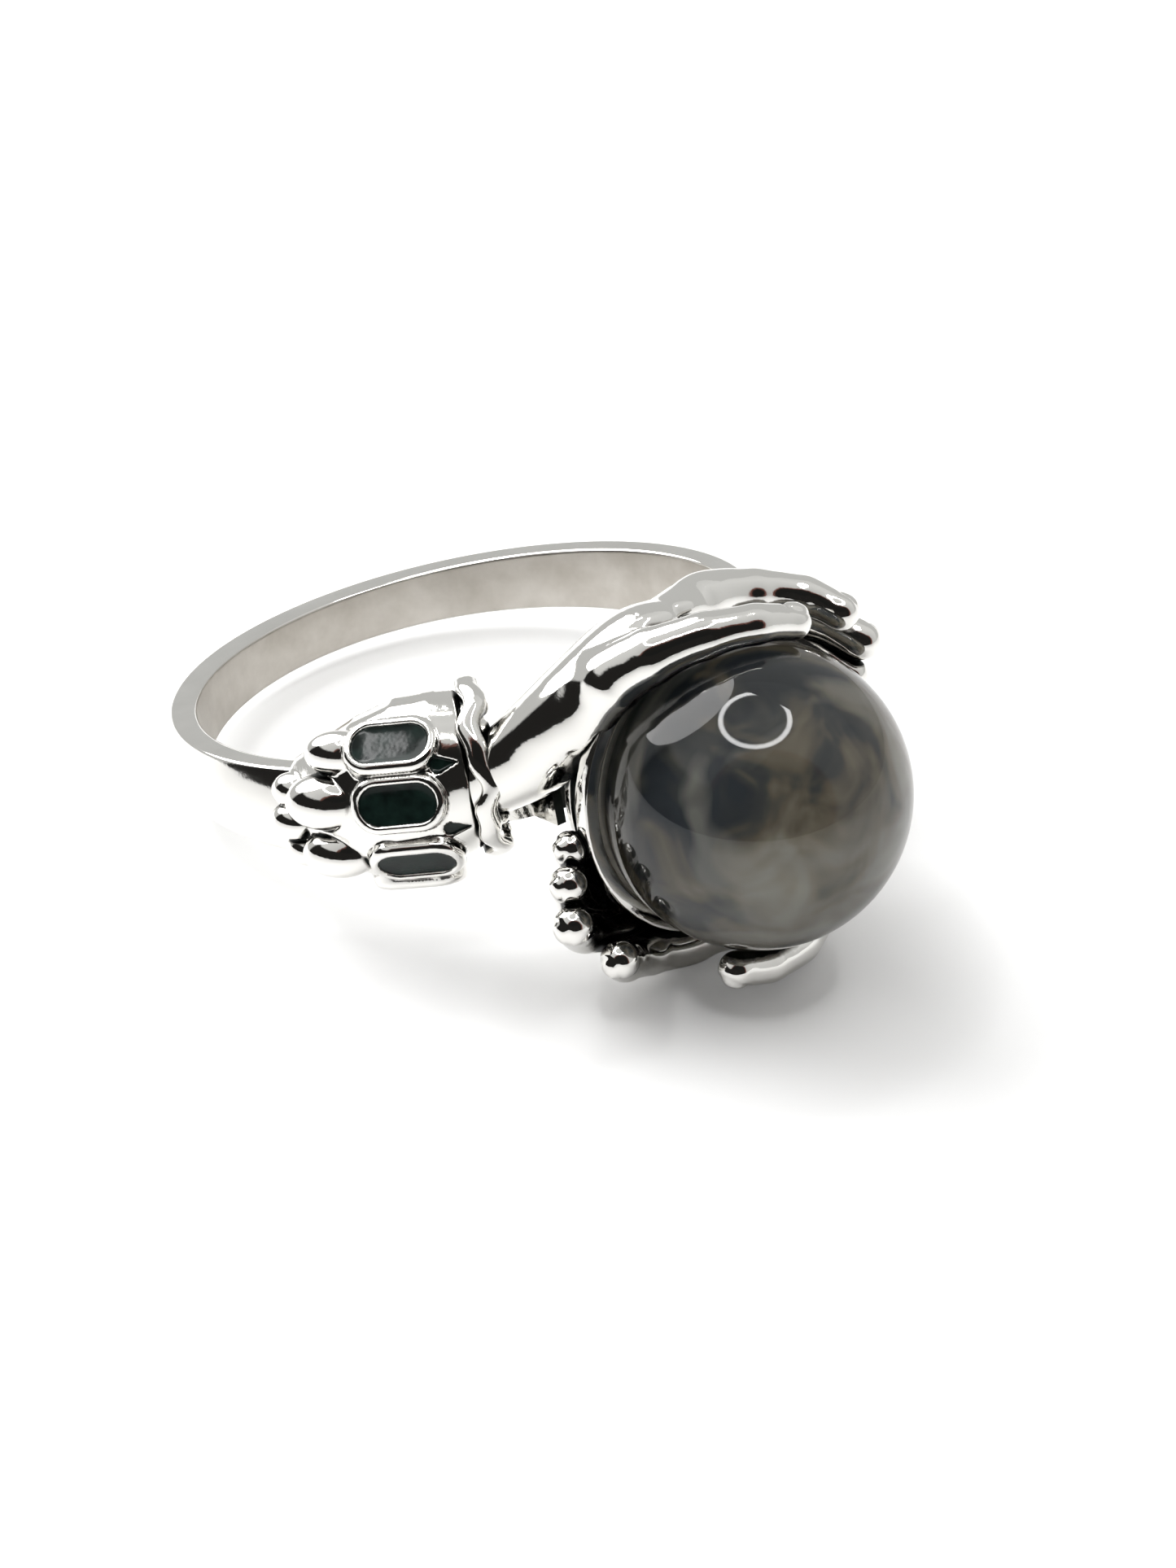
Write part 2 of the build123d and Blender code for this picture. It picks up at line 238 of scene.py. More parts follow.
def oval_distance(u, v, a, b):
    k0 = np.sqrt((u / a) ** 2 + (v / b) ** 2)
    k1 = np.sqrt((u / a ** 2) ** 2 + (v / b ** 2) ** 2)
    return k0 * (k0 - 1) / np.maximum(k1, 1e-6)


def nearest_on(path, p):
    """The smooth path's row nearest to each point, found from the nearest station."""
    pull = np.gradient(path, axis=0)
    a, b, da, db = path[:-1], path[1:], pull[:-1], pull[1:]
    square = 3 * (b - a) - 2 * da - db
    cube = 2 * (a - b) + da + db
    spots = path[:, :3]
    at = np.argmin(np.sum(spots ** 2, axis=1) - 2 * p @ spots.T, axis=1).astype(np.float32)
    for step in range(PATH_TRIES + 1):
        k = np.minimum(at.astype(int), len(a) - 1)
        t = (at - k)[:, None]
        row = a[k] + t * (da[k] + t * (square[k] + t * cube[k]))
        if step < PATH_TRIES:
            rate = (da[k] + t * (2 * square[k] + 3 * t * cube[k]))[:, :3]
            slide = np.sum((p - row[:, :3]) * rate, axis=1) / np.sum(rate ** 2, axis=1)
            at = np.clip(at + slide, 0, len(a))
    return row


def limb_field(p, path):
    """A limb of round sections, or of ovals that lie flat on the ball."""
    best = np.full(len(p), FAR, np.float32)
    low, high = path[:, :3].min(0), path[:, :3].max(0)
    off = np.linalg.norm(p - np.clip(p, low, high), axis=1)
    close = off < path[:, 3:].max() + LIMB_MARGIN
    if not close.all():
        best[~close] = off[~close] - path[:, 3:].max()
        if close.any():
            best[close] = limb_field(p[close], path)
        return best
    row = nearest_on(path, p)
    off = p - row[:, :3]
    reach = np.linalg.norm(off, axis=1)
    if path.shape[1] == 4:
        return reach - row[:, 3]
    out = row[:, :3] - BALL_CENTRE
    up = np.sum(off * out, axis=1) / np.linalg.norm(out, axis=1)
    side = np.sqrt(np.maximum(reach ** 2 - up ** 2, 0))
    return oval_distance(up, side, row[:, 3], row[:, 4])


def ball_field(p):
    return np.linalg.norm(p - BALL_CENTRE, axis=1) - BALL_R


def cup_outline():
    lip_end = CUP_DEPTH + CUP_LIP_HEIGHT
    flange_end = CUP_FLANGE_DEPTH + CUP_FLANGE_HEIGHT
    foot = BALL_R + GLUE_GAP + CUP_WALL
    return [(CUP_LIP_R, CUP_DEPTH), (CUP_LIP_R, lip_end), (CUP_NECK_R, lip_end + CUP_NECK_DROP),
            (CUP_NECK_R, CUP_FLANGE_DEPTH), (CUP_FLANGE_R, CUP_FLANGE_DEPTH),
            (CUP_FLANGE_R, flange_end), (CUP_FOOT_R, foot)]


def cup_field(p):
    """The cup with its hollow filled, about the ball's axis."""
    depth = p[:, 1] - BALL_CENTRE[1]
    radius = np.hypot(p[:, 0], p[:, 2])
    corners = np.array([(0, CUP_DEPTH)] + cup_outline() + [(0, BALL_R + GLUE_GAP + CUP_WALL)])
    q = np.stack([radius, depth], 1)
    near = np.full(len(p), FAR)
    inside = np.zeros(len(p), bool)
    for a, b in zip(corners, np.roll(corners, -1, axis=0)):
        run = b - a
        t = np.clip((q - a) @ run / (run @ run), 0, 1)[:, None]
        near = np.minimum(near, np.linalg.norm(q - a - t * run, axis=1))
        crosses = (a[1] > q[:, 1]) != (b[1] > q[:, 1])
        rise = run[1] if abs(run[1]) > 1e-9 else 1e-9
        inside ^= crosses & (q[:, 0] < run[0] * (q[:, 1] - a[1]) / rise + a[0])
    return np.where(inside, -near, near)


def band_field(p):
    """The shank with the bar behind the ball, roughly: it only shades and clears."""
    rho = np.hypot(p[:, 0], p[:, 1])
    far = BORE_R + BAND_WALL + BAND_CROWN
    half = BAND_FRONT_HALF + (BAND_BACK_HALF - BAND_FRONT_HALF) * (p[:, 1] + far) / (2 * far)
    angle = np.degrees(np.arctan2(np.abs(p[:, 0]), -p[:, 1]))
    half = np.where(angle < BAND_END_ANGLE, BAR_HALF, half)
    thick = np.where(angle < BAND_END_ANGLE, BAR_THICK, BAND_WALL + BAND_CROWN)
    middle = BORE_R + thick / 2
    return np.maximum(np.abs(rho - middle) - thick / 2, np.abs(p[:, 2]) - half)


def nail_relief(p, body):
    """Cuts a fine line round each nail and lifts the nail a little."""
    for path in DIGIT_PATHS.values():
        tip, radius = path[-1, :3], path[-1, 3]
        ahead = unit(tip - path[-5, :3])
        out = unit(tip - BALL_CENTRE)
        out = unit(out - ahead * (out @ ahead))
        local = (p - tip) @ np.array([ahead, np.cross(out, ahead), out]).T
        edge = oval_distance(local[:, 0] - 0.15 * radius, local[:, 1], 0.85 * radius, 0.62 * radius)
        gate = np.clip((local[:, 2] - 0.15 * radius) / (0.4 * radius), 0, 1)
        gate = gate * (np.abs(local).max(1) < 2 * radius)
        body = body + gate * 0.055 * np.exp(-(edge / 0.07) ** 2)
        body = body - gate * 0.02 * np.clip(-edge / 0.15, 0, 1)
    return body


def hand_field(p):
    """Forearm, palm and five digits, hollowed to sit against the ball and its cup."""
    palm = limb_field(p, ARM_PATH)
    digits = np.full(len(p), FAR)
    for path in DIGIT_PATHS.values():
        digits = blend(digits, limb_field(p, path), FINGER_CREASE)
    body = nail_relief(p, blend(palm, digits, PALM_BLEND))
    body = carve(body, ball_field(p) - PALM_GAP, 0.02)
    body = np.maximum(body, -cup_field(p))
    return np.maximum(body, -band_field(p))


def sleeve_coordinates(p):
    """Angle, height over the side walls, offset from the middle, half height and dome height."""
    angle = np.degrees(np.arctan2(-p[:, 0], -p[:, 1]))
    rho = np.hypot(p[:, 0], p[:, 1])
    middle, half, reach = [np.interp(angle, CUFF_STATIONS[:, 0], CUFF_STATIONS[:, i])
                           for i in (1, 2, 3)]
    return angle, rho, p[:, 2] - middle, half, reach


def skin_field(p):
    """Distance out of the sleeve's long skin, with no ends."""
    angle, rho, v, half, reach = sleeve_coordinates(p)
    u = np.maximum(rho - BORE_R - CUFF_SIDE, 1e-4)
    tall = reach - CUFF_SIDE
    power = 1 / 0.55
    g = (u / tall) ** power + (v / half) ** 2 + 1e-9
    slope_u = power * (u / tall) ** (power - 1) / tall / (2 * np.sqrt(g))
    slope_v = v / half ** 2 / np.sqrt(g)
    return (np.sqrt(g) - 1) / np.maximum(np.hypot(slope_u, slope_v), 0.15)


def arc_field(p, start, end):
    """Distance out of a wedge between two angles round the hole."""
    angle = np.degrees(np.arctan2(-p[:, 0], -p[:, 1]))
    rho = np.hypot(p[:, 0], p[:, 1])
    return np.maximum(start - angle, angle - end) * np.radians(1) * rho


def bump_field(p, petal):
    angle, z, length, width, height = petal
    origin, rows = skin_frame(angle, z, 18 * (z - station_at(angle)[0]))
    local = (p - origin) @ rows.T - np.array([0, 0, height - width])
    k0 = np.sqrt((local[:, 0] / length) ** 2 + (local[:, 1] ** 2 + local[:, 2] ** 2) / width ** 2)
    k1 = np.sqrt((local[:, 0] / length ** 2) ** 2
                 + (local[:, 1] ** 2 + local[:, 2] ** 2) / width ** 4)
    return k0 * (k0 - 1) / np.maximum(k1, 1e-6)


def window_shape(p, place, grow):
    """Flat distance out of a window's outline, and height over the skin."""
    origin, rows = skin_frame(*place)
    local = (p - origin) @ rows.T
    half_l = WINDOW_LENGTH / 2 + grow
    half_w = WINDOW_WIDTH / 2 + grow
    corner = half_w * WINDOW_ROUND
    qx = np.abs(local[:, 0]) - half_l + corner
    qy = np.abs(local[:, 1]) - half_w + corner
    flat = (np.hypot(np.maximum(qx, 0), np.maximum(qy, 0)) + np.minimum(np.maximum(qx, qy), 0)
            - corner)
    return flat, local[:, 2]


def cuff_field(p):
    """Petalled sleeve with raised oval rims and pockets for the enamel."""
    body = within(skin_field(p), arc_field(p, 33.5, 68.0), 0.25)
    for petal in PETALS:
        body = blend(body, bump_field(p, petal), 0.06)
    for place in WINDOWS.values():
        flat, high = window_shape(p, place, WINDOW_FRAME)
        rim = within(flat, np.maximum(high - FRAME_STAND, -1.0 - high), 0.30)
        body = blend(body, rim, 0.05)
    for place in WINDOWS.values():
        flat, high = window_shape(p, place, 0)
        body = carve(body, within(flat, FRAME_STAND - WINDOW_DEPTH - high, 0.05), 0.10)
    for place in DROPS:
        body = carve(body, drop_field(p, place), 0.06)
    return np.maximum(body, BORE_R + CUFF_REAM - np.hypot(p[:, 0], p[:, 1]))


def drop_field(p, place):
    """A teardrop pocket whose point lies towards the collar."""
    origin, rows = skin_frame(*place)
    local = (p - origin) @ rows.T
    half = DROP_LENGTH / 2
    share = np.clip((local[:, 0] + half) / (DROP_LENGTH - DROP_WIDTH / 2), 0, 1)
    middle = -half + share * (DROP_LENGTH - DROP_WIDTH / 2)
    flat = np.hypot(local[:, 0] - middle, local[:, 1]) - DROP_WIDTH / 2 * share
    return np.maximum(flat, -DROP_DEPTH - local[:, 2])


def collar_field(p):
    """A folded ribbon round the cuff's mouth, with a row of ruffles at the wrist."""
    mouth = CUFF_STATIONS[0]
    end = mouth[0] - COLLAR_WIDTH
    skin = skin_field(p)
    angle, rho, v, half, reach = sleeve_coordinates(p)
    swing = np.arctan2(v / half, np.maximum(rho - BORE_R - CUFF_SIDE, 1e-3) / reach)
    wave = 0.16 * np.sin(5 * swing + 0.6) + 0.08 * np.sin(11 * swing)
    arc = (angle - end) * np.radians(1) * rho + wave
    width = COLLAR_WIDTH * np.radians(1) * BORE_R * 1.2
    wall = np.maximum(np.abs(skin - 0.05) - 0.22, np.maximum(0.15 - arc, arc - width + 0.1))
    lip = np.hypot(skin - 0.13, arc - 0.42) - 0.30
    back = np.hypot(skin - 0.17, arc - width + 0.25) - 0.24
    body = blend(blend(wall, lip, 0.12), back, 0.12)
    inner = CUFF_STATIONS[0][0]
    plug = np.maximum(skin + 0.15, np.maximum(inner - 1.2 - angle, angle - inner)
                      * np.radians(1) * rho)
    body = np.minimum(body, plug)
    for i in range(COLLAR_RUFFLES):
        turn = radians(RUFFLE_SWING * (2 * i / (COLLAR_RUFFLES - 1) - 1))
        z = mouth[1] + mouth[2] * sin(turn) * 0.86
        out = BORE_R + CUFF_SIDE + (mouth[3] - CUFF_SIDE) * cos(turn) * 0.86
        centre = round_hole(end + 1.0 + 0.8 * (i % 2), z, out)
        body = blend(body, np.linalg.norm(p - centre, axis=1) - RUFFLE_R * (0.8 + 0.2 * (i % 2)),
                     0.08)
    return np.maximum(body, BORE_R + CUFF_REAM - rho)


def left_fields(p):
    return [hand_field(p), cuff_field(p), collar_field(p)]


def around(p):
    """Distance to the nearest piece of the whole ring."""
    turned = p * np.array([-1, 1, -1])
    found = left_fields(p) + [hand_field(turned), ball_field(p), cup_field(p), band_field(p)]
    return np.min(found, axis=0)


def slope(field, p, step=0.012):
    rows = []
    for axis in range(3):
        move = np.zeros(3)
        move[axis] = step
        rows.append(measure(field, p + move) - measure(field, p - move))
    return np.stack(rows, 1) / (2 * step)


def hollow(p, out):
    """0 on open skin to 1 deep in a crease: how near the ring comes along the skin's normal. It blackens the
    silver: partly patina in the creases, partly painted shade in them and where the ball, cup, band and other
    hand come near.
    """
    shade = np.zeros(len(p))
    for reach, weight in ((0.18, 0.30), (0.45, 0.30), (1.0, 0.25), (1.9, 0.15)):
        shade += weight * (1 - np.clip(measure(around, p + out * reach) / reach, 0, 1))
    return shade


# ---- Meshes

def net(values, low, step):
    """One vertex in each cell that the zero level crosses, and a quad across each crossed edge."""
    cells = np.array(values.shape) - 1
    total = np.zeros((cells.prod(), 3))
    count = np.zeros(cells.prod())
    quads = []
    for axis in range(3):
        u, v = (axis + 1) % 3, (axis + 2) % 3
        a = np.delete(values, -1, axis)
        b = np.delete(values, 0, axis)
        at = np.argwhere((a < 0) != (b < 0))
        at = at[(at[:, u] > 0) & (at[:, v] > 0) & (at[:, u] < cells[u]) & (at[:, v] < cells[v])]
        start, stop = a[tuple(at.T)], b[tuple(at.T)]
        where = at.astype(float)
        where[:, axis] += start / (start - stop)
        ring = []
        for du, dv in ((1, 1), (0, 1), (0, 0), (1, 0)):
            cell = at.copy()
            cell[:, u] -= du
            cell[:, v] -= dv
            flat = np.ravel_multi_index(cell.T, cells)
            count += np.bincount(flat, minlength=len(count))
            for k in range(3):
                total[:, k] += np.bincount(flat, where[:, k], minlength=len(count))
            ring.append(flat)
        quad = np.stack(ring, 1)
        quads.append(np.where((start < 0)[:, None], quad, quad[:, ::-1]))
    used = np.flatnonzero(count)
    index = np.full(len(count), -1)
    index[used] = np.arange(len(used))
    return low + step * total[used] / count[used, None], index[np.vstack(quads)]


def measure(field, p):
    """The field at many points, a chunk to each thread."""
    chunks = np.array_split(np.asarray(p, np.float32), max(1, len(p) // CHUNK))
    with ThreadPoolExecutor(4) as pool:
        return np.concatenate(list(pool.map(field, chunks)))


def relaxed(verts, quads):
    """Each vertex moved halfway to the middle of its neighbours, so that the net is even."""
    start = quads.ravel()
    stop = np.roll(quads, -1, axis=1).ravel()
    near = np.bincount(start, minlength=len(verts))
    total = [np.bincount(start, verts[stop, k], len(verts)) for k in range(3)]
    return (verts + np.stack(total, 1) / near[:, None]) / 2


def sculpt(field, low, high, step=NET_STEP, block=4):
    """Vertices, faces and normals of a field's zero level."""
    cells = (np.ceil((high - low) / step / block).astype(int) + 1) * block
    sparse = [low[i] + step * (np.arange(0, cells[i], block) + (block - 1) / 2) for i in range(3)]
    coarse = np.stack(np.meshgrid(*sparse, indexing="ij"), -1).reshape(-1, 3)
    rough = measure(field, coarse).reshape([len(s) for s in sparse])
    for axis in range(3):
        rough = np.repeat(rough, block, axis)
    near = np.argwhere(np.abs(rough) < step * block * 1.5)
    values = np.sign(rough) * FAR
    values[tuple(near.T)] = measure(field, low + step * near)
    verts, quads = net(values, low, step)
    for _ in range(3):
        verts = relaxed(verts, quads)
        grade = slope(field, verts)
        move = (measure(field, verts) / np.maximum(np.sum(grade ** 2, 1), 0.2))[:, None] * grade
        length = np.linalg.norm(move, axis=1)[:, None]
        verts = verts - move * np.minimum(1, 0.4 * step / np.maximum(length, 1e-9))
    grade = slope(field, verts)
    return verts, quads, grade / np.maximum(np.linalg.norm(grade, axis=1), 1e-9)[:, None]


def piece(name, verts, faces, material, stands_for=(), attributes=None, turn=False):
    """A smooth mesh piece on the ring; turn makes the right-hand copy."""
    verts = np.asarray(verts) * (np.array([-1, 1, -1]) if turn else 1)
    mesh = bpy.data.meshes.new(name)
    mesh.from_pydata((verts * MM).tolist(), [], [list(f) for f in faces])
    mesh.validate()
    mesh.polygons.foreach_set("use_smooth", [True] * len(mesh.polygons))
    for key, values in (attributes or {}).items():
        layer = mesh.attributes.new(key, "FLOAT", "POINT")
        layer.data.foreach_set("value", np.asarray(values, np.float32))
    mesh.materials.append(material)
    made = bpy.data.objects.new(name, mesh)
    bpy.context.scene.collection.objects.link(made)
    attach(made, "root")
    if stands_for:
        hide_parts(*stands_for)
    return made


def rounded(outline, radius, steps=4):
    """The outline's corners turned into short arcs; the two ends stay."""
    outline = [np.array(c, float) for c in outline]
    path = [outline[0]]
    for before, corner, after in zip(outline[:-2], outline[1:-1], outline[2:]):
        reach = min(radius, 0.4 * np.linalg.norm(corner - before), 0.4 * np.linalg.norm(after - corner))
        a = corner + unit(before - corner) * reach
        b = corner + unit(after - corner) * reach
        for t in np.linspace(0, 1, steps + 1):
            path.append((1 - t) ** 2 * a + 2 * t * (1 - t) * corner + t ** 2 * b)
    return path + [outline[-1]]


def grid_faces(rows, columns, closed):
    """Quads between rows of points; closed joins the last column to the first."""
    faces = []
    for i in range(rows - 1):
        for j in range(columns if closed else columns - 1):
            k = (j + 1) % columns
            faces.append((i * columns + j, i * columns + k, (i + 1) * columns + k,
                          (i + 1) * columns + j))
    return faces


def lathe(outline, turns):
    """An outline of (radius, depth behind the ball's middle), turned about the ball's axis.
    Its first and last points lie on the axis."""
    verts = [BALL_CENTRE + np.array([0, outline[0][1], 0])]
    for radius, depth in outline[1:-1]:
        for j in range(turns):
            a = 2 * np.pi * j / turns
            verts.append(BALL_CENTRE + np.array([radius * cos(a), depth, radius * sin(a)]))
    verts.append(BALL_CENTRE + np.array([0, outline[-1][1], 0]))
    rows = len(outline) - 2
    faces = [tuple(k + 1 for k in f) for f in grid_faces(rows, turns, True)]
    last = len(verts) - 1
    for j in range(turns):
        k = (j + 1) % turns
        faces.append((0, 1 + k, 1 + j))
        faces.append((last, 1 + (rows - 1) * turns + j, 1 + (rows - 1) * turns + k))
    return np.array(verts), faces


# ---- Materials

def material(name):
    made = bpy.data.materials.new(name)
    made.use_nodes = True
    made.node_tree.nodes.clear()
    return made, made.node_tree


def add(tree, kind, _values=None, **settings):
    """A node with its settings; _values fills or links its inputs."""
    made = tree.nodes.new("ShaderNode" + kind)
    for key, value in settings.items():
        setattr(made, key, value)
    for key, value in (_values or {}).items():
        if isinstance(value, bpy.types.NodeSocket):
            tree.links.new(value, made.inputs[key])
        else:
            made.inputs[key].default_value = value
    return made


def ramp(tree, factor, stops):
    made = add(tree, "ValToRGB", {"Fac": factor})
    row = made.color_ramp.elements
    while len(row) < len(stops):
        row.new(0.5)
    for element, (place, colour) in zip(row, stops):
        element.position = place
        element.color = (*colour, 1) if len(colour) == 3 else (colour[0],) * 3 + (1,)
    return made.outputs["Color"]


def place(tree, size):
    """Object coordinates, in units of the given millimetres."""
    where = add(tree, "TexCoord").outputs["Object"]
    return add(tree, "VectorMath", {0: where, "Scale": 1 / (size * MM)}, operation="SCALE").outputs[0]


def noise(tree, size, detail=3.0, roughness=0.5, distortion=0.0):
    return add(tree, "TexNoise", {"Vector": place(tree, size), "Scale": 1.0, "Detail": detail,
                                  "Roughness": roughness, "Distortion": distortion}).outputs["Fac"]


def maths(tree, operation, a, b=0.0, clamp=False):
    return add(tree, "Math", {0: a, 1: b}, operation=operation, use_clamp=clamp).outputs[0]


def surface(tree, shader):
    add(tree, "OutputMaterial", {"Surface": shader})


SILVER = (0.86, 0.85, 0.82)
# Mid and full tones of the blackening, which is patina and painted shade.
PATINA_AND_SHADE_GREY = (0.40, 0.385, 0.36)
PATINA_AND_SHADE_BLACK = (0.012, 0.014, 0.013)


def cast_silver():
    """Polished silver over hollows blackened by patina and by painted shade, with a casting's soft waves and
    pits.
    """
    made, tree = material("cast_silver")
    deep = add(tree, "Attribute", attribute_name="patina_and_shade").outputs["Fac"]
    patch = maths(tree, "MULTIPLY", maths(tree, "SUBTRACT", noise(tree, 0.45, 4.0), 0.5), 0.35)
    # The blackening mask is patina and painted shade; the noise adds random tone to it.
    patina_and_shade_level = maths(tree, "ADD", deep, patch, True)
    colour = ramp(tree, patina_and_shade_level, [(0.0, SILVER), (0.42, SILVER), (0.56, PATINA_AND_SHADE_GREY), (0.70, PATINA_AND_SHADE_BLACK)])
    rough = ramp(tree, patina_and_shade_level, [(0.0, (0.055,)), (0.45, (0.09,)), (0.62, (0.32,)), (1.0, (0.42,))])
    waves = add(tree, "Bump", {"Height": noise(tree, 1.1, 1.5), "Strength": 0.5,
                               "Distance": 0.05 * MM})
    pits = add(tree, "Bump", {"Height": noise(tree, 0.10, 2.0), "Strength": 0.25,
                              "Distance": 0.006 * MM, "Normal": waves.outputs[0]})
    shader = add(tree, "BsdfPrincipled", {"Base Color": colour, "Metallic": 1.0, "Roughness": rough,
                                          "Normal": pits.outputs[0]})
    surface(tree, shader.outputs[0])
    return made


def band_silver():
    """Polished outside and rim; the finger side is satin, taupe-grey and faintly scratched."""
    made, tree = material("band_silver")
    inner = add(tree, "Attribute", attribute_name="satin").outputs["Fac"]
    mottle = noise(tree, 2.2, 4.0, 0.6)
    dull = ramp(tree, mottle, [(0.3, (0.46, 0.43, 0.385)), (0.7, (0.63, 0.60, 0.555))])
    bright = ramp(tree, mottle, [(0.3, (0.80, 0.79, 0.76)), (0.7, SILVER)])
    colour = add(tree, "Mix", {"Factor": inner, 6: bright, 7: dull}, data_type="RGBA").outputs[2]
    rough = maths(tree, "ADD", maths(tree, "MULTIPLY", inner, 0.30),
                  maths(tree, "MULTIPLY", mottle, 0.16))
    waves = add(tree, "Bump", {"Height": noise(tree, 1.6, 1.5), "Strength": 0.4,
                               "Distance": 0.04 * MM})
    grain = add(tree, "Bump", {"Height": noise(tree, 0.12, 3.0), "Strength": 0.3,
                               "Distance": 0.008 * MM, "Normal": waves.outputs[0]})
    shader = add(tree, "BsdfPrincipled", {"Base Color": colour, "Metallic": 1.0, "Roughness": rough,
                                          "Normal": grain.outputs[0]})
    surface(tree, shader.outputs[0])
    return made


def enamel():
    """Black-green cold enamel with faint clouds and a wavy gloss."""
    made, tree = material("enamel")
    colour = ramp(tree, noise(tree, 0.7, 3.0), [(0.35, (0.004, 0.008, 0.007)),
                                                (0.75, (0.012, 0.028, 0.023))])
    ripple = add(tree, "Bump", {"Height": noise(tree, 0.5, 2.0), "Strength": 0.4,
                                "Distance": 0.02 * MM})
    shader = add(tree, "BsdfPrincipled", {"Base Color": colour, "Roughness": 0.12,
                                          "Specular IOR Level": 0.22,
                                          "Normal": ripple.outputs[0]})
    surface(tree, shader.outputs[0])
    return made


def cement():
    made, tree = material("cement")
    colour = ramp(tree, noise(tree, 0.6), [(0.3, (0.48, 0.46, 0.40)), (0.7, (0.60, 0.58, 0.52))])
    shader = add(tree, "BsdfPrincipled", {"Base Color": colour, "Roughness": 0.25})
    surface(tree, shader.outputs[0])
    return made


def crystal():
    """Clear, faintly smoked stone with a polished skin."""
    made, tree = material("crystal")
    smoke = ramp(tree, noise(tree, 3.0, 2.0), [(0.3, (0.42, 0.43, 0.45)), (0.7, (0.68, 0.67, 0.63))])
    shader = add(tree, "BsdfPrincipled", {"Base Color": smoke, "Roughness": 0.015, "IOR": 1.47,
                                          "Specular IOR Level": 0.42,
                                          "Transmission Weight": 1.0})
    surface(tree, shader.outputs[0])
    return made


def crystal_cloud():
    """The cloudy heart of the stone: slate smoke, tan patches and pale veils."""
    made, tree = material("crystal_cloud")
    # The heart grows paler towards the side that points outward from the ring and down.
    pale_side = unit([0.30, -0.58, -0.75])
    side = add(tree, "VectorMath", {0: place(tree, BALL_R), 1: tuple(pale_side)},
               operation="DOT_PRODUCT").outputs["Value"]
    side = maths(tree, "SUBTRACT", side, float(BALL_CENTRE @ pale_side / BALL_R))
    drift = maths(tree, "ADD", noise(tree, 2.3, 2.5, 0.5, 0.9), maths(tree, "MULTIPLY", side, 0.22))
    smoke = ramp(tree, drift, [(0.34, (0.014, 0.021, 0.030)), (0.44, (0.050, 0.052, 0.050)),
                               (0.52, (0.135, 0.117, 0.083)), (0.62, (0.23, 0.20, 0.148)),
                               (0.76, (0.36, 0.35, 0.30))])
    slant = add(tree, "Mapping", {"Vector": place(tree, 2.6), "Rotation": (0.3, 0.9, 0.5),
                                  "Scale": (0.35, 1.6, 1.0)}).outputs[0]
    veil = add(tree, "TexNoise", {"Vector": slant, "Scale": 1.0, "Detail": 2.0}).outputs["Fac"]
    haze = ramp(tree, veil, [(0.50, (0.0,)), (0.64, (0.6,))])
    colour = add(tree, "Mix", {"Factor": haze, 6: smoke, 7: (0.32, 0.315, 0.28, 1)},
                 data_type="RGBA").outputs[2]
    shader = add(tree, "BsdfPrincipled", {"Base Color": colour, "Roughness": 0.6})
    surface(tree, shader.outputs[0])
    return made


# ---- Build

silver = cast_silver()
band_metal = band_silver()
black = enamel()
glass = crystal()
cloud = crystal_cloud()
glue = cement()

for name in ("hand", "cuff", "collar"):
    field = {"hand": hand_field, "cuff": cuff_field, "collar": collar_field}[name]
    corner_low, corner_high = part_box("left_" + name)
    low = np.array(corner_low) / MM - 0.4
    high = np.array(corner_high) / MM + 0.4
    verts, quads, out = sculpt(field, low, high)
    # Blackening of the cast silver: patina in its creases and painted shade where the pieces come near one
    # another.
    patina_and_shade = hollow(verts, out)
    for side in ("left_", "right_"):
        piece(side + name + "_cast", verts, quads, silver, [side + name],
              {"patina_and_shade": patina_and_shade}, side == "right_")


def shank():
    """The band: flat inside, crowned outside, soft edges, narrower at the back."""
    far = BORE_R + BAND_WALL + BAND_CROWN
    drop = BAND_CROWN * (BAND_FRONT_HALF / BAND_CROWN_HALF) ** 2
    arc_r = (BAND_FRONT_HALF ** 2 + drop ** 2) / (2 * drop)
    rows = []
    satin = []
    around_steps = 260
    for i in range(around_steps + 1):
        angle = BAND_END_ANGLE + (360 - 2 * BAND_END_ANGLE) * i / around_steps
        y = -far * cos(radians(angle))
        half = BAND_FRONT_HALF + (BAND_BACK_HALF - BAND_FRONT_HALF) * (y + far) / (2 * far)
        edge = far - (arc_r - sqrt(arc_r ** 2 - half ** 2))
        crown = [(far - (arc_r - sqrt(arc_r ** 2 - (half * t) ** 2)), half * t)
                 for t in np.linspace(0.85, -0.85, 9)]
        outline = rounded([(BORE_R, 0), (BORE_R, half), (edge, half)] + crown
                          + [(edge, -half), (BORE_R, -half), (BORE_R, 0)], 0.16)[:-1]
        rows.append([round_hole(angle, z, reach) for reach, z in outline])
        satin.append([1.0 if reach < BORE_R + 0.02 else 0.0 for reach, z in outline])
    columns = len(rows[0])
    verts = np.array(rows).reshape(-1, 3)
    faces = [f[::-1] for f in grid_faces(len(rows), columns, True)]
    faces.append(tuple(range(columns)))
    faces.append(tuple(range(len(verts) - 1, len(verts) - columns - 1, -1)))
    return piece("shank_band", verts, faces, band_metal, ["shank"],
                 {"satin": np.array(satin).ravel()})


shank()


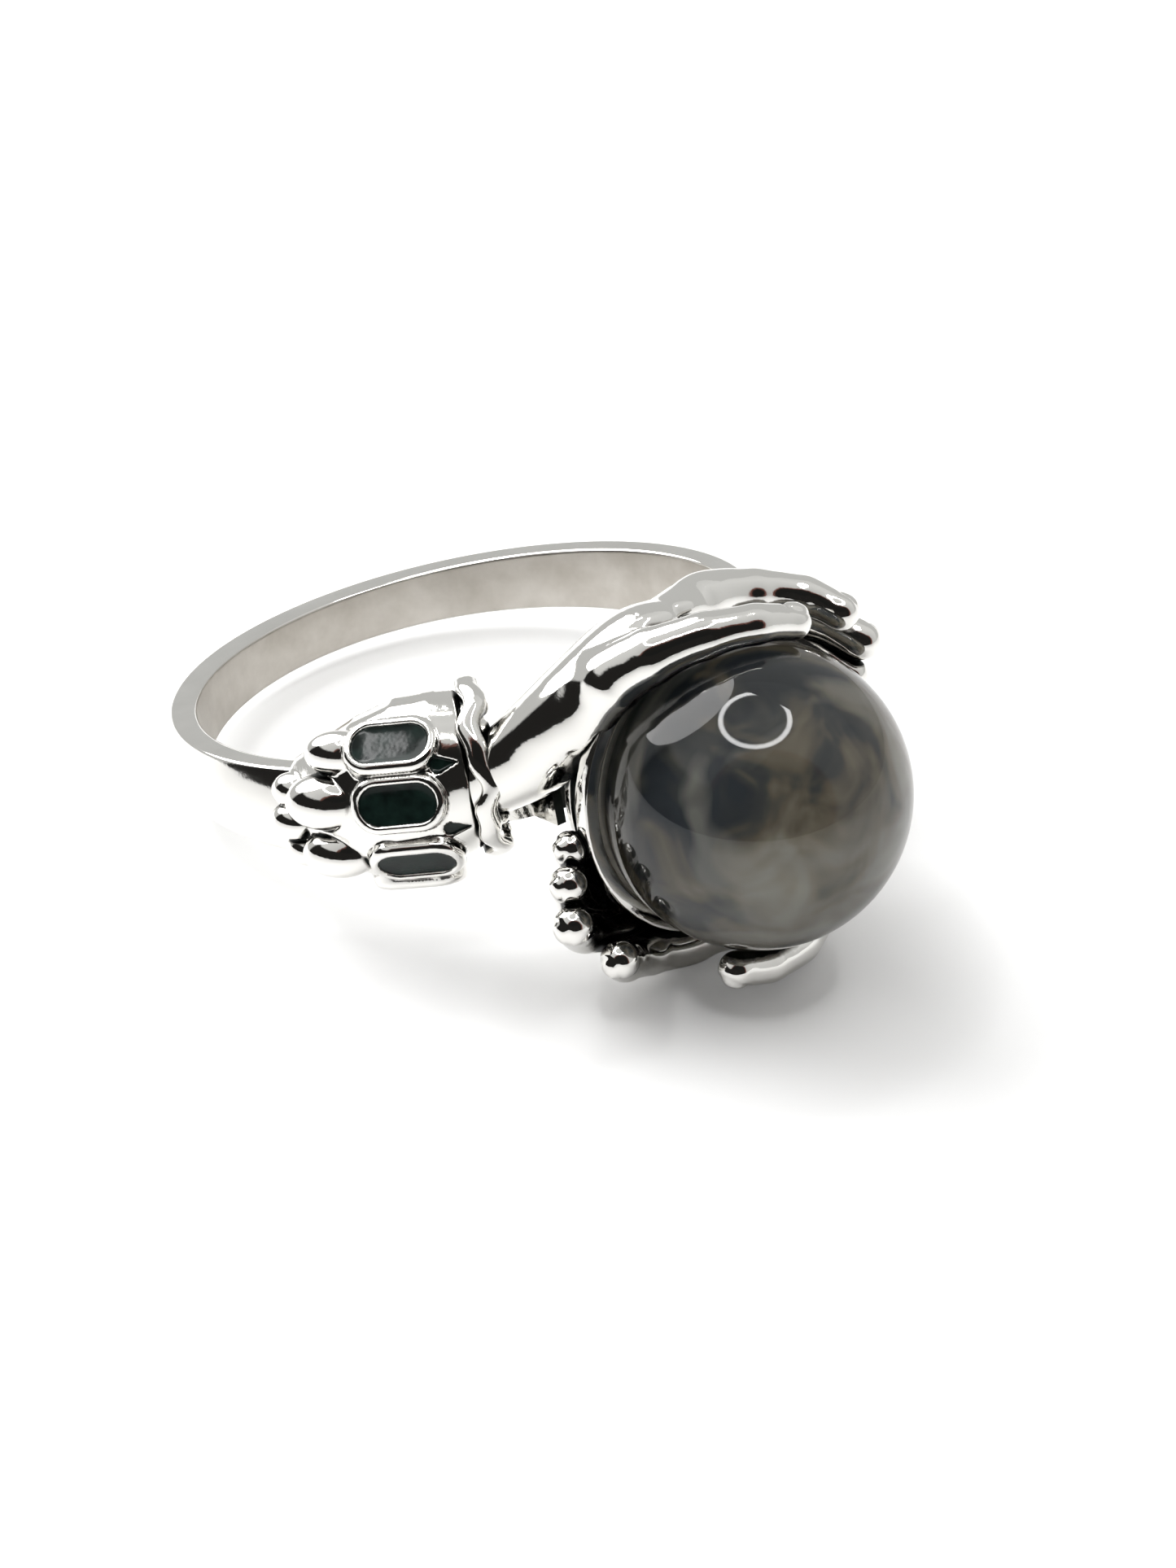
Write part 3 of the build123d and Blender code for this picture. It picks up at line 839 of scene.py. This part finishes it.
def cup():
    """The turned cup: a bright lip, a neck blackened by patina and painted shade under the lip, and a thin
    flange.
    """
    hollow_r = BALL_R + GLUE_GAP
    start = np.degrees(np.arccos(CUP_DEPTH / hollow_r))
    bowl = [(hollow_r * sin(radians(a)), hollow_r * cos(radians(a)))
            for a in np.linspace(start, 0, 14)]
    foot = BALL_R + GLUE_GAP + CUP_WALL
    outline = [(0, foot)] + cup_outline()[::-1] + bowl
    path = rounded(outline, 0.09)
    verts, faces = lathe(path, 168)
    spin = np.arctan2(verts[:, 2], verts[:, 0])
    radius = np.hypot(verts[:, 0], verts[:, 2])
    dent = 0.012 * np.sin(13 * spin) + 0.008 * np.sin(29 * spin + 1)
    scale = 1 - np.abs(dent) * (radius > CUP_NECK_R + 0.2) / np.maximum(radius, 1)
    verts[:, 0] *= scale
    verts[:, 2] *= scale
    depth = verts[:, 1] - BALL_CENTRE[1]
    # The neck under the lip, and the flange and the lip's underside more faintly, are blackened: patina and
    # painted shade.
    neck = np.clip((CUP_LIP_R - 0.1 - radius) / 0.3, 0, 1) * (depth > CUP_DEPTH + 0.1)
    neck = neck * (radius > CUP_FOOT_R) * np.where(radius < CUP_FLANGE_R - 0.05, 1, 0.3)
    return piece("cup_turned", verts, faces, silver, ["bezel_cup"],
                 {"patina_and_shade": 0.9 * neck})


cup()


def sphere(name, radius, mat, stands_for):
    outline = [(radius * sin(a), radius * cos(a)) for a in np.linspace(0, np.pi, 97)]
    outline[0] = (0, radius)
    outline[-1] = (0, -radius)
    verts, faces = lathe(outline, 192)
    return piece(name, verts, faces, mat, stands_for)


sphere("crystal_ball_polished", BALL_R, glass, ["crystal_ball"])
sphere("crystal_heart", BALL_R * 0.68, cloud, [])


def pool(spot, outline, top, floor_z):
    """A pool of enamel in a pocket: a closed body whose face dips in the middle."""
    origin, rows = skin_frame(*spot)
    outline = np.array(outline)
    n = len(outline)
    points = []
    for share in (1.0, 0.96, 0.9, 0.8, 0.65, 0.45, 0.25):
        high = top + 0.05 * (share ** 6 - 1)
        points += [(x * share, y * share, high) for x, y in outline]
    points.append((0, 0, top - 0.05))
    faces = grid_faces(7, n, True)
    faces += [(6 * n + j, 6 * n + (j + 1) % n, 7 * n) for j in range(n)]
    base = len(points)
    points += [(x, y, floor_z) for x, y in outline]
    faces += [(base + j, base + (j + 1) % n, (j + 1) % n, j) for j in range(n)]
    faces.append(tuple(base + j for j in range(n))[::-1])
    return origin + np.array(points) @ rows, faces


def window_outline():
    corner = WINDOW_WIDTH / 2 * WINDOW_ROUND
    path = []
    for k in range(64):
        a = 2 * np.pi * k / 64
        x, y = cos(a), sin(a)
        path.append((np.sign(x) * (WINDOW_LENGTH / 2 - corner) + corner * x,
                     np.sign(y) * (WINDOW_WIDTH / 2 - corner) + corner * y))
    return path


def drop_outline():
    half = DROP_LENGTH / 2
    r = DROP_WIDTH / 2
    path = [(half - r + r * cos(a), r * sin(a)) for a in np.linspace(-1.3, 1.3, 17)]
    return path + [(-half * 0.4, r * 0.35), (-half, 0.01), (-half, -0.01), (-half * 0.4, -r * 0.35)]


for side in ("left_", "right_"):
    for name, spot in WINDOWS.items():
        verts, faces = pool(spot, window_outline(), FRAME_STAND - ENAMEL_SINK,
                            FRAME_STAND - WINDOW_DEPTH)
        piece(side + "pool_" + name, verts, faces, black, [side + "enamel_" + name],
              turn=side == "right_")
    drops = [pool(spot, drop_outline(), -DROP_SINK, -DROP_DEPTH) for spot in DROPS]
    count = len(drops[0][0])
    verts = np.vstack([d[0] for d in drops])
    faces = drops[0][1] + [tuple(k + count for k in f) for f in drops[1][1]]
    piece(side + "pool_drops", verts, faces, black, [side + "enamel_drops"],
          turn=side == "right_")

for name, mat in (("gallery_bar", silver), ("ball_cement", glue)):
    node = frame["nodes"][name]
    node.data.materials.clear()
    node.data.materials.append(mat)

# ---- Camera: the ring's axis leans back and the ball faces down to the right
CAMERA_AT = Vector((-55.276, -94.311, 43.398))
CAMERA_RIGHT = Vector((0.7941, -0.5851, -0.1647))
CAMERA_UP = Vector((0.3632, 0.2395, 0.9004))
LENS = 74.70
camera = bpy.data.cameras.new("camera")
camera.lens = LENS
camera.sensor_fit = "VERTICAL"
camera.sensor_height = 36
camera.clip_start = 0.002
camera_object = bpy.data.objects.new("camera", camera)
back = CAMERA_RIGHT.cross(CAMERA_UP).normalized()
right = CAMERA_UP.cross(back).normalized()
turn = Matrix((right, back.cross(right), back)).transposed()
camera_object.matrix_world = Matrix.Translation(CAMERA_AT * MM) @ turn.to_4x4()
bpy.context.scene.collection.objects.link(camera_object)
bpy.context.scene.camera = camera_object

# ---- Table: the ring leans on the back edge of its shank and on the lower hand
TABLE_UP = unit([0, -0.202, 0.979])
lowest = min(float((np.array([v.co for v in o.data.vertices]) @ TABLE_UP).min())
             for o in bpy.context.scene.objects if o.type == "MESH" and not o.hide_render)


def table():
    made, tree = material("table")
    lit = add(tree, "BsdfPrincipled", {"Base Color": (0.9, 0.9, 0.9, 1), "Roughness": 0.30,
                                       "Specular IOR Level": 0.5})
    path = add(tree, "LightPath")
    glow = add(tree, "Emission", {"Color": (1, 1, 1, 1), "Strength": 0.10})
    both = add(tree, "AddShader", {0: lit.outputs[0], 1: glow.outputs[0]})
    seen = add(tree, "MixShader", {"Fac": path.outputs["Is Camera Ray"], 1: lit.outputs[0],
                                   2: both.outputs[0]})
    clear = add(tree, "BsdfTransparent")
    under = add(tree, "NewGeometry").outputs["Backfacing"]
    surface(tree, add(tree, "MixShader", {"Fac": under, 1: seen.outputs[0],
                                          2: clear.outputs[0]}).outputs[0])
    size = 600
    side = unit(np.cross([0, 1, 0], TABLE_UP))
    along = np.cross(TABLE_UP, side)
    middle = TABLE_UP * lowest / MM
    verts = [middle + size * (a * side + b * along) for a, b in ((-1, -1), (1, -1), (1, 1), (-1, 1))]
    mesh = bpy.data.meshes.new("table")
    mesh.from_pydata([tuple(v * MM) for v in verts], [], [(0, 1, 2, 3)])
    mesh.materials.append(made)
    sheet = bpy.data.objects.new("table", mesh)
    bpy.context.scene.collection.objects.link(sheet)


table()


def studio():
    """A white tent, dark where the camera and its holder stand, with a ring lamp overhead."""
    world = bpy.data.worlds.new("studio")
    bpy.context.scene.world = world
    world.use_nodes = True
    tree = world.node_tree
    tree.nodes.clear()
    look = add(tree, "TexCoord").outputs["Generated"]

    def along(direction):
        return add(tree, "VectorMath", {0: look, 1: tuple(direction)}, operation="DOT_PRODUCT").outputs["Value"]

    across = along(right)
    upward = along(back.cross(right))
    toward = along(back)
    x = maths(tree, "DIVIDE", maths(tree, "ADD", across, -0.10), 0.74)
    y = maths(tree, "DIVIDE", maths(tree, "ADD", upward, 0.12), 0.66)
    away = maths(tree, "SQRT", maths(tree, "ADD", maths(tree, "MULTIPLY", x, x),
                                     maths(tree, "MULTIPLY", y, y)))
    away = maths(tree, "ADD", away, maths(tree, "MULTIPLY", maths(tree, "LESS_THAN", toward, 0.0), 9.0))
    tent = ramp(tree, maths(tree, "MULTIPLY", away, 0.5),
                [(0.0, (0.012, 0.013, 0.013)), (0.44, (0.015, 0.014, 0.013)),
                 (0.485, (0.20, 0.09, 0.075)), (0.51, (0.62, 0.62, 0.61)), (0.75, (0.80, 0.80, 0.79)),
                 (1.0, (0.62, 0.62, 0.61))])
    zenith = along(TABLE_UP)
    level = unit(np.array(back) - TABLE_UP * (TABLE_UP @ np.array(back)))
    low = ramp(tree, zenith, [(0.0, (1.0,)), (0.50, (1.0,)), (0.56, (0.0,))])
    side = ramp(tree, along(unit(0.82 * level - 0.57 * np.array(right))), [(0.30, (0.0,)), (0.38, (1.0,))])
    room = maths(tree, "MULTIPLY", low, side)
    tent = add(tree, "Mix", {"Factor": room, 6: tent, 7: (0.018, 0.017, 0.016, 1)},
               data_type="RGBA").outputs[2]
    open_side = along(unit(0.5 * np.array(right) - 0.866 * level))
    ring = ramp(tree, zenith, [(0.0, (0.0,)), (0.915, (0.0,)), (0.919, (1.0,)), (0.935, (1.0,)),
                               (0.939, (0.0,))])
    ring = maths(tree, "MULTIPLY", ring, maths(tree, "LESS_THAN", open_side, 0.30))
    lamp = maths(tree, "MULTIPLY", ring, 15.0)
    plain = add(tree, "Background", {"Color": tent, "Strength": 0.9})
    hoop = add(tree, "Background", {"Color": (1, 1, 1, 1), "Strength": lamp})
    lit = add(tree, "AddShader", {0: plain.outputs[0], 1: hoop.outputs[0]})
    white = add(tree, "Background", {"Color": (1, 1, 1, 1), "Strength": 1.0})
    path = add(tree, "LightPath")
    shown = maths(tree, "MAXIMUM", path.outputs["Is Camera Ray"], path.outputs["Is Transmission Ray"])
    both = add(tree, "MixShader", {"Fac": shown, 1: lit.outputs[0], 2: white.outputs[0]})
    add(tree, "OutputWorld", {"Surface": both.outputs[0]})


studio()

key = bpy.data.lights.new("key", "AREA")
key.shape = "DISK"
key.size = 0.24
key.energy = 0.60
key_object = bpy.data.objects.new("key", key)
key_object.location = Vector((-40, 130, 190)) * MM
key_object.rotation_euler = (-key_object.location).to_track_quat("-Z", "Y").to_euler()
bpy.context.scene.collection.objects.link(key_object)

view = bpy.context.scene.view_settings
view.view_transform = "Standard"
